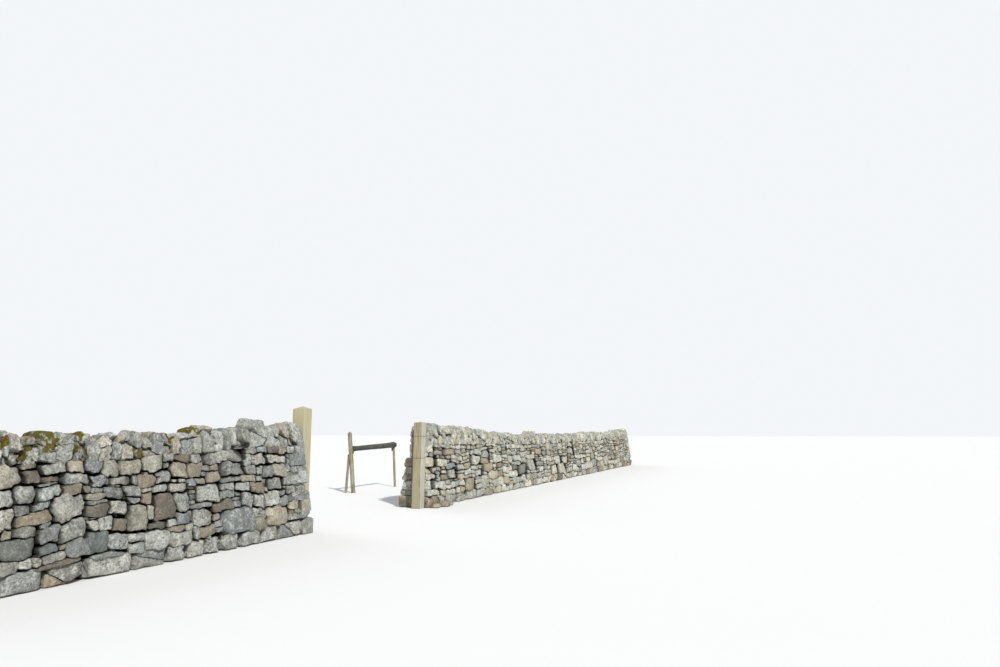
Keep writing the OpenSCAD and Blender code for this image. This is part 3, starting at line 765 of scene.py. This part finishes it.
# Materials
class Nodes:
    """Short calls for a material's node tree. An input is a value, or a socket to link from."""

    def __init__(self, name):
        self.material = bpy.data.materials.new(name)
        self.material.use_nodes = True
        self.tree = self.material.node_tree
        self.shader = self.tree.nodes["Principled BSDF"]
        self.where = self.add("ShaderNodeTexCoord").outputs["Object"]

    def put(self, socket, value):
        if isinstance(value, bpy.types.NodeSocket):
            self.tree.links.new(value, socket)
        elif isinstance(value, tuple) and socket.type == "RGBA":
            socket.default_value = (*value, 1.0)
        else:
            socket.default_value = value

    def add(self, kind, inputs=None, **settings):
        node = self.tree.nodes.new(kind)
        for key, value in settings.items():
            setattr(node, key, value)
        for key, value in (inputs or {}).items():
            self.put(node.inputs[key], value)
        return node

    def math(self, operation, a, b=0.0):
        return self.add("ShaderNodeMath", {0: a, 1: b}, operation=operation).outputs[0]

    def plus(self, a, b):
        return self.math("ADD", a, b)

    def minus(self, a, b):
        return self.math("SUBTRACT", a, b)

    def times(self, a, *others):
        for b in others:
            a = self.math("MULTIPLY", a, b)
        return a

    def ramp(self, value, low, high, out_low=0.0, out_high=1.0):
        inputs = dict(enumerate((value, low, high, out_low, out_high)))
        return self.add("ShaderNodeMapRange", inputs, interpolation_type="SMOOTHSTEP").outputs[0]

    def mix(self, share, a, b, blend="MIX"):
        inputs = {0: share, 6: a, 7: b}
        return self.add("ShaderNodeMix", inputs, data_type="RGBA", blend_type=blend).outputs[2]

    def noise(self, scale, detail=3.0, rough=0.55, where=None, distortion=0.0):
        inputs = {"Scale": scale, "Detail": detail, "Roughness": rough, "Distortion": distortion}
        return self.add("ShaderNodeTexNoise", {"Vector": where or self.where, **inputs}).outputs["Fac"]

    def cells(self, scale):
        return self.add("ShaderNodeTexVoronoi", {"Vector": self.where, "Scale": scale}).outputs["Distance"]

    def stretched(self, z):
        """Places for a noise that is stretched upwards where z is small."""
        return self.add("ShaderNodeMapping", {"Vector": self.where, "Scale": (1.0, 1.0, z)}).outputs[0]

    def xyz(self, vector):
        return self.add("ShaderNodeSeparateXYZ", {0: vector}).outputs

    def facing(self, which):
        return self.xyz(self.add("ShaderNodeNewGeometry").outputs[which])

    def attribute(self, name):
        node = self.add("ShaderNodeAttribute", attribute_name=name)
        return node.outputs["Color"], node.outputs["Alpha"]

    def bump(self, height, distance, strength, after=None):
        inputs = {"Distance": distance, "Strength": strength, "Height": height}
        if after:
            inputs["Normal"] = after
        return self.add("ShaderNodeBump", inputs).outputs[0]

    def done(self, colour, roughness, normal, specular=0.25):
        inputs = {"Base Color": colour, "Roughness": roughness, "Normal": normal}
        for key, value in {**inputs, "Specular IOR Level": specular}.items():
            self.put(self.shader.inputs[key], value)
        return self.material


def stone_material():
    n = Nodes("limestone")
    colour, clean_and_unshaded = n.attribute("stone_tone_and_shade")
    mark, rugged = n.attribute("stone_mark")
    lichen, moss, seed = n.add("ShaderNodeSeparateColor", {0: mark}).outputs
    # A stone's own colour moves it to its own place in every noise
    spread = {0: colour, 1: (23.0, 31.0, 17.0), 2: n.where}
    n.where = n.add("ShaderNodeVectorMath", spread, operation="MULTIPLY_ADD").outputs[0]
    broad = n.noise(9.0, 3.0, 0.6)
    fine = n.noise(48.0, 4.0, 0.62)
    grain = n.noise(190.0, 3.0, 0.6)
    pits = n.cells(85.0)
    crag = n.noise(22.0, 4.0, 0.65)
    # Clefts, on rugged stones only
    folds = n.noise(8.0, 4.0, 0.62, n.stretched(1.8), 0.5)
    cleft = n.ramp(n.math("ABSOLUTE", n.minus(folds, 0.5)), 0.0, 0.022, 1.0, 0.0)
    cleft = n.times(cleft, n.ramp(rugged, 0.35, 0.8), n.ramp(n.noise(10.0), 0.45, 0.6))
    colour = n.mix(1.0, colour, n.ramp(broad, 0.3, 0.7, 0.78, 1.16), "MULTIPLY")
    # Darker in the low places of the fine and craggy bump: mottle, and painted shade in the hollows
    colour = n.mix(n.ramp(fine, 0.34, 0.56, 0.5, 0.0), colour, tone(96, 95, 88))
    colour = n.mix(n.ramp(crag, 0.32, 0.5, 0.5, 0.0), colour, tone(92, 91, 84))
    # Pale lichen
    crust = n.plus(n.times(fine, 0.45), n.times(n.noise(13.0, 4.0, 0.65), 0.6))
    crust = n.times(n.ramp(crust, 0.52, 0.62), n.times(lichen, 0.72))
    colour = n.mix(crust, colour, tone(212, 212, 204))
    # Painted shade in the pits of the bump: dark specks where the pits lie deepest
    painted_pit_shade = n.times(n.ramp(pits, 0.1, 0.24, 0.6, 0.0), n.ramp(grain, 0.35, 0.6))
    colour = n.mix(painted_pit_shade, colour, tone(66, 66, 62))
    # Painted shade in the clefts
    colour = n.mix(n.times(cleft, 0.75), colour, tone(62, 60, 55))
    rust = n.times(n.ramp(n.noise(14.0, 2.0), 0.6, 0.72), n.ramp(seed, 0.7, 1.0, 0.0, 0.5))
    colour = n.mix(rust, colour, tone(152, 122, 78))
    # Moss, which likes a top
    sod = n.plus(n.noise(11.0, 3.0, 0.5), n.times(n.facing("Normal")[2], 0.14))
    sod = n.ramp(n.plus(sod, n.times(moss, 0.3)), 0.72, 0.8)
    sod = n.times(sod, n.ramp(moss, 0.0, 0.1))
    moss_colour = n.mix(n.ramp(n.noise(9.0), 0.5, 0.66), tone(104, 98, 30), tone(96, 62, 34))
    moss_colour = n.mix(n.ramp(n.noise(60.0), 0.35, 0.65, 0.5, 0.0), moss_colour, tone(52, 46, 20))
    colour = n.mix(sod, colour, moss_colour)
    # Dirt and painted shade in the joints
    colour = n.mix(n.ramp(clean_and_unshaded, 0.0, 1.0, 0.9, 0.0), colour, tone(34, 32, 28))
    height = n.plus(n.times(fine, 0.9), n.times(n.ramp(pits, 0.05, 0.4), 0.35))
    height = n.plus(height, n.times(crag, 1.6))
    height = n.times(height, n.ramp(rugged, 0.2, 0.9, 0.55, 1.25))
    normal = n.bump(n.minus(height, n.times(cleft, 0.5)), 0.02, 0.8)
    normal = n.bump(n.plus(grain, n.times(sod, n.noise(130.0))), 0.003, 0.7, normal)
    return n.done(colour, n.ramp(crust, 0.0, 1.0, 0.82, 0.95), normal)


# The rubble inside the wall shows only deep in the gaps, so its colour is painted very dark: painted shade
def rubble_material():
    n = Nodes("packed_rubble_painted_shade")
    lumps = n.cells(16.0)
    colour = n.mix(n.ramp(lumps, 0.05, 0.5), tone(60, 57, 51), tone(22, 21, 19))
    colour = n.mix(n.ramp(n.noise(30.0), 0.4, 0.7), colour, tone(50, 46, 38))
    return n.done(colour, 0.95, n.bump(lumps, 0.04, 0.9))


def timber_material(name, light, dark, stain, crack, stain_share=0.5, grain_z=0.06, silver_and_sunlit=0.0, bands=()):
    """Grained timber. The silver share is how pale and grey its track side is painted: weathered silver,
    and partly painted light where the sun falls on that side. Bands are heights of rubbed rings (m).
    """
    n = Nodes(name)
    along = n.stretched(grain_z)
    rings = n.noise(60.0, 4.0, 0.6, along, 0.4)
    fibres = n.noise(260.0, 3.0, 0.6, along)
    colour = n.mix(n.ramp(rings, 0.35, 0.68), light, dark)
    colour = n.mix(n.ramp(fibres, 0.45, 0.75, 0.0, 0.45), colour, dark)
    colour = n.mix(n.times(n.ramp(n.noise(5.0), 0.42, 0.66), stain_share), colour, stain)
    if silver_and_sunlit:
        # Track side paler and greyer: weathered silver, and partly a painted sunlit side
        share = n.ramp(n.facing("True Normal")[1], -0.9, -0.4, silver_and_sunlit, 0.0)
        share = n.times(share, n.ramp(rings, 0.3, 0.6, 1.0, 0.6))
        colour = n.mix(share, colour, tone(186, 187, 181))
    for height in bands:
        off = n.math("ABSOLUTE", n.minus(n.xyz(n.where)[2], height))
        off = n.plus(off, n.times(n.noise(18.0), 0.02))
        colour = n.mix(n.ramp(off, 0.014, 0.024, 0.6, 0.0), colour, tone(112, 92, 66))
    split = n.times(n.ramp(n.noise(34.0, 2.0, 0.5, n.stretched(0.035)), 0.63, 0.66), crack)
    colour = n.mix(split, colour, tone(52, 45, 34))
    height = n.minus(n.times(n.plus(rings, fibres), 0.4), split)
    return n.done(colour, n.ramp(rings, 0.2, 0.8, 0.72, 0.9), n.bump(height, 0.004, 0.8))


def iron_material():
    n = Nodes("rusted_iron")
    flakes = n.noise(120.0, 5.0, 0.7)
    colour = n.mix(n.ramp(flakes, 0.4, 0.62), tone(46, 43, 41), tone(66, 52, 43))
    return n.done(colour, n.ramp(flakes, 0.3, 0.7, 0.6, 0.9), n.bump(flakes, 0.002, 0.8), 0.4)


STONE = stone_material()
RUBBLE = rubble_material()
NEW_TIMBER = timber_material(
    "new_softwood", tone(176, 171, 142), tone(166, 157, 125), tone(168, 165, 135), crack=0.25,
    stain_share=0.6,
)
OLD_TIMBER = timber_material(
    "old_softwood", tone(144, 139, 114), tone(108, 101, 78), tone(152, 152, 138), crack=0.9
)
GATE_TIMBER = timber_material(
    "old_gatepost", tone(164, 158, 131), tone(133, 125, 98), tone(148, 146, 114), crack=0.4,
    silver_and_sunlit=0.75, bands=(1.345, 0.94),
)
# Dark timber for the strip behind the old post: its darkness is partly painted shade, for the shaded gap
# beside the post
STOP_TIMBER_AND_SHADE = timber_material(
    "stop_timber_and_shade", tone(84, 76, 62), tone(50, 45, 38), tone(70, 66, 58), crack=0.6
)
BARK = timber_material(
    "dark_bark", tone(95, 94, 87), tone(50, 49, 45), tone(112, 112, 112), crack=0.8, grain_z=0.5
)
IRON = iron_material()


def set_material(node, material):
    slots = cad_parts[node].data.materials
    slots.clear()
    slots.append(material)


# Timber: rings of points along an axis
def ring_mesh(name, rings, material):
    """A closed tube through rings of points, each ring with as many points."""
    count = len(rings[0])
    faces = []
    for k in range(len(rings) - 1):
        for i in range(count):
            a, b = k * count + i, k * count + (i + 1) % count
            faces.append((a, b, b + count, a + count))
    faces.append(tuple(range(count - 1, -1, -1)))
    faces.append(tuple(range((len(rings) - 1) * count, len(rings) * count)))
    return new_object(name, np.vstack(rings), faces, material, 40)


def square_section(width, corner, per_side):
    """Points round a square with worn corners."""
    half = width / 2
    points = []
    for quarter in range(4):
        turn = math.pi / 2 * quarter
        c, s = math.cos(turn), math.sin(turn)
        for i in range(per_side):
            t = -1 + 2 * i / per_side
            x, y = half, t * half
            over = abs(y) - (half - corner)
            if over > 0:
                x = half - corner + math.sqrt(max(corner ** 2 - over ** 2, 0)) * 0.98
            points.append((c * x - s * y, s * x + c * y))
    return np.array(points)


def post(node, material, slot, corner, cap, rough, seed):
    """A square post with a cap this high, leaning as its node does. Gives its foot, lean and width."""
    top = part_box(node)[1].z
    solid = islands(node)[0][0]
    foot = solid[solid[:, 2] < 0.001]
    width = foot[:, 1].max() - foot[:, 1].min()
    middle = middle_of(foot)
    crown = solid[solid[:, 2] > top - 0.03]
    lean = (middle_of(crown) - middle) / crown[:, 2].mean()
    section = square_section(width - 0.002, corner, 10)
    shoulder = top - cap
    levels = [(z, 1.0) for z in (*np.linspace(0, shoulder - 0.012, 46), shoulder - 0.006, shoulder)]
    levels += [(shoulder + cap * (1 - share) * 0.985, share) for share in (0.97, 0.8, 0.6, 0.4, 0.2, 0.06)]
    rings = []
    for z, share in levels:
        ring = np.column_stack([section * share, np.full(len(section), z)])
        dent = 1 - rough * (1 + noise(ring * (1, 1, 0.25) + seed * 5.1, 0.05, seed))
        dent -= rough * 0.5 * (1 + noise(ring + seed, 0.02, seed + 2))
        ring[:, :2] *= dent[:, None]
        ring[:, :2] += middle[:2] + lean[:2] * z
        rings.append(ring)
    finish_piece(ring_mesh(node + "_timber", rings, material), slot, node)
    return middle, lean, width


def batten(name, stand, material, slot, thick, broad, z0, z1, seed):
    """A strip up the gap side of a post's back, which leans with the post."""
    middle, lean, width = stand
    section = square_section(1.0, 0.2, 4)
    rings = []
    for z in np.linspace(z0, z1, 30):
        ring = np.column_stack([section[:, 0] * broad, section[:, 1] * thick, np.full(len(section), z)])
        ring[:, :2] *= 1 - 0.12 * (1 + noise(ring * 0.5 + seed, 0.02, seed))[:, None]
        ring[:, 0] += middle[0] - width / 2 + broad / 2 + lean[0] * z
        ring[:, 1] += middle[1] + width / 2 + thick / 2 - 0.002 + lean[1] * z
        rings.append(ring)
    finish_piece(ring_mesh(name, rings, material), slot)


def rod(node, material, slot, count, steps, rough, bark, round_tip, seed, stands=True):
    """A round timber along a CAD node's own axis, a little rough and never wider than the node.
    It has this many points round and steps along, and one that stands is cut off at the ground."""
    solid = islands(node)[0][0]
    span = solid.max(0) - solid.min(0)
    axis = int(np.argmax(span))
    side = solid[:, axis]
    p0 = middle_of(solid[side < side.min() + 0.04 * span[axis]])
    p1 = middle_of(solid[side > side.max() - 0.04 * span[axis]])
    if stands:
        p0[2] = 0.0
    length = np.linalg.norm(p1 - p0)
    along = (p1 - p0) / length
    across = np.cross(along, (0.0, 0.0, 1.0) if axis != 2 else (1.0, 0.0, 0.0))
    across /= np.linalg.norm(across)
    other = np.cross(along, across)
    flat = solid - p0
    place = flat @ along
    dist = np.linalg.norm(flat - np.outer(place, along), axis=1)
    r0 = dist[place < 0.1 * length].max()
    r1 = dist[place > 0.9 * length].max()
    tip = round_tip * r1
    angles = np.arange(count) * 2 * math.pi / count
    ring = np.outer(np.cos(angles), across) + np.outer(np.sin(angles), other)
    rings = []
    for k in range(steps + 1):
        t = k / steps
        r = (r0 + (r1 - r0) * t) * 0.985
        if tip and (1 - t) * length < tip:
            back = 1 - (1 - t) * length / tip
            r *= math.sqrt(max(1 - back ** 2 * 0.92, 0.05))
        where = ring * 0.05 + along * t * length * 0.35 + seed
        dent = 1 - rough * (1 + noise(where, 0.03, seed)) - bark * (1 + noise(where, 0.012, seed + 4))
        points = p0 + along * t * length + ring * (r * dent)[:, None]
        if stands:
            points[:, 2] = np.maximum(points[:, 2], 0.0) if k else 0.0
        rings.append(points)
    finish_piece(ring_mesh(node + "_timber", rings, material), slot, node)


# Building the pieces
# Cushions of moss on the left-hand cope: place along the wall, height and spread (m)
MOSS_SPOTS = [
    (-4.97, 1.38, 0.07), (-4.71, 1.27, 0.06), (-4.47, 1.38, 0.09), (-4.06, 1.28, 0.06),
    (-4.09, 1.44, 0.05), (-3.30, 1.22, 0.05), (-2.83, 1.42, 0.05), (-2.35, 1.47, 0.05),
]


def moss_left(points):
    grown = np.zeros(len(points))
    for x, z, spread in MOSS_SPOTS:
        far = np.hypot(points[:, 0] - x, points[:, 2] - z) / spread
        grown = np.maximum(grown, np.clip(1.5 * np.exp(-0.5 * far ** 2), 0, 1))
    return grown


# Left of this the left-hand cope is low, and of small stones (m)
LOW_COPE_END = -2.6


def cope_cuts(centre, rng):
    """The low part of the left-hand cope is broken small, and the right-hand cope often."""
    if centre[0] < LOW_COPE_END:
        return int(rng.integers(1, 4))
    if centre[0] < 0:
        return int(rng.random() < 0.35)
    return int(rng.choice([0, 1, 2, 3], p=[0.15, 0.35, 0.35, 0.15]))


def foot_cuts(centre, rng):
    return int(rng.random() < 0.5)


def head_cuts(centre, rng):
    return int(rng.random() < 0.4)


COPE_SLANTS = [(0.2, -0.4, 1.0), (-0.3, 0.4, 1.0), (0.2, 1.0, 0.4), (1.0, 0.2, 0.7), (-0.9, 0.5, 0.8)]
FOOT_SLANTS = [(1.0, 0.0, 0.5), (0.25, 0.0, 1.0), (-1.0, 0.0, 0.6)]
HEAD_SLANTS = [(1.0, 0.0, 0.3), (0.1, 0.1, 1.0), (1.0, 0.0, -0.3)]
PALE_KINDS = ["pale", "grey", "buff"]
WARM_KINDS = ["pale", "buff", "tan", "brown"]
LEFT_ENDS = ["left_outer", "left_gateway"]
RIGHT_ENDS = ["right_gateway", "right_outer"]

build_face(["left"], LEFT_ENDS, -1, FRONT_GRID, 101, features=FEATURES)
build_face(["left"], LEFT_ENDS, 1, BACK_GRID, 102)
build_face(["near", "middle", "far"], RIGHT_ENDS, -1, FRONT_GRID, 113, long=1.35, flat=0.55)
build_face(["near", "middle", "far"], RIGHT_ENDS, 1, BACK_GRID, 104, long=1.3, flat=0.65)
for number, rood in enumerate(ROODS):
    build_islands(
        rood + "_cope", COPE_GRID[rood], 200 + number, "cope", roundness=(14, 40), rough=0.018, chip=6,
        sink=0.03, split=(cope_cuts, COPE_SLANTS), ease=0.93, sway=2.5, kinds=PALE_KINDS,
        moss=moss_left if rood == "left" else None,
    )
    build_islands(
        rood + "_footings", FOOT_GRID[rood], 300 + number, "footings", roundness=(12, 30), rough=0.018,
        chip=4, split=(foot_cuts, FOOT_SLANTS), ease=0.94,
    )
    set_material(rood + "_hearting", RUBBLE)
for number, (end, grid) in enumerate(HEAD_GRID.items()):
    style = {"roundness": (14, 30), "rough": 0.01, "chip": 2, "sink": 0.012}
    if end == "right_gateway":
        # The head that has partly fallen is of warmer stone, and more worn
        style.update(roundness=(9, 20), rough=0.016, chip=4, ease=0.95, kinds=WARM_KINDS)
    build_islands(end + "_ties", grid, 400 + number, "walling", **style)
    build_islands(end + "_runners", grid, 500 + number, "walling", split=(head_cuts, HEAD_SLANTS), **style)
build_islands("fallen_stones", FALLEN_GRID, 600, "walling", roundness=(12, 24), rough=0.01, chip=4)
post("left_gatepost", NEW_TIMBER, "new_timber", corner=0.006, cap=0.042, rough=0.006, seed=21)
old_post = post("right_gatepost", GATE_TIMBER, "old_timber", corner=0.007, cap=0.014, rough=0.006, seed=22)
batten(
    "right_gatepost_stop", old_post, STOP_TIMBER_AND_SHADE, "old_timber", thick=0.022, broad=0.045, z0=0.11, z1=1.46,
    seed=23,
)
rod("rail", BARK, "rail_bark", 32, 60, rough=0.03, bark=0.03, round_tip=0.6, seed=31, stands=False)
for number, (stake, count, steps, round_tip) in enumerate([
    ("tall_stake", 20, 40, 0.2), ("short_stake", 16, 30, 0.2), ("end_stake", 16, 30, 0.0),
]):
    rod(stake, OLD_TIMBER, "old_timber", count, steps, 0.04, 0.01, round_tip, 32 + number)
set_material("rail_straps", IRON)


# Floor, light and camera
FLOOR_REACH = 150.0


def make_floor():
    n = Nodes("pale_floor")
    n.put(n.shader.inputs["Base Color"], (0.80, 0.80, 0.79))
    n.put(n.shader.inputs["Roughness"], 0.95)
    corners = np.array([(-1, -1, 0), (1, -1, 0), (1, 1, 0), (-1, 1, 0)]) * FLOOR_REACH
    floor = new_object("floor", corners, [(0, 1, 2, 3)], n.material, 30)


def make_world():
    """A sky that looks paler than it lights."""
    world = bpy.data.worlds.new("pale_sky")
    world.use_nodes = True
    bpy.context.scene.world = world
    nodes, link = world.node_tree.nodes, world.node_tree.links.new
    lit = nodes["Background"]
    lit.inputs[0].default_value = (0.86, 0.92, 1.0, 1)
    lit.inputs[1].default_value = 0.4
    seen = nodes.new("ShaderNodeBackground")
    seen.inputs[0].default_value = (0.90, 0.92, 0.94, 1)
    path = nodes.new("ShaderNodeLightPath")
    either = nodes.new("ShaderNodeMath")
    either.operation = "MAXIMUM"
    link(path.outputs["Is Camera Ray"], either.inputs[0])
    link(path.outputs["Is Glossy Ray"], either.inputs[1])
    mix = nodes.new("ShaderNodeMixShader")
    for source, socket in zip((either, lit, seen), mix.inputs):
        link(source.outputs[0], socket)
    link(mix.outputs[0], nodes["World Output"].inputs[0])


def make_sun(name, towards, strength, softness, colour):
    lamp = bpy.data.lights.new(name, "SUN")
    lamp.energy = strength
    lamp.angle = math.radians(softness)
    lamp.color = colour
    sun = placed(name, lamp)
    sun.rotation_mode = "QUATERNION"
    sun.rotation_quaternion = Vector(towards).to_track_quat("-Z", "Y")


def make_camera():
    data = bpy.data.cameras.new("photo_view")
    data.sensor_width = SENSOR_MM
    data.lens = FOCAL_PX * SENSOR_MM / IMAGE_W
    data.clip_end = 500.0
    camera = placed("photo_view", data)
    turn = Matrix.Rotation(-EYE_YAW, 4, "Z") @ Matrix.Rotation(math.pi / 2 + EYE_PITCH, 4, "X")
    camera.matrix_world = Matrix.Translation(EYE) @ turn @ Matrix.Rotation(EYE_ROLL, 4, "Z")
    bpy.context.scene.camera = camera


make_floor()
make_world()
make_sun("key", (0.55, 0.58, -0.6), strength=3.8, softness=3.0, colour=(1.0, 0.98, 0.95))
make_sun("fill", (0.9, 0.15, -0.35), strength=0.25, softness=40.0, colour=(0.95, 0.97, 1.0))
make_sun("back", (-0.35, -0.75, -0.5), strength=0.6, softness=40.0, colour=(0.97, 0.98, 1.0))
make_camera()
bpy.context.scene.view_settings.view_transform = "Standard"
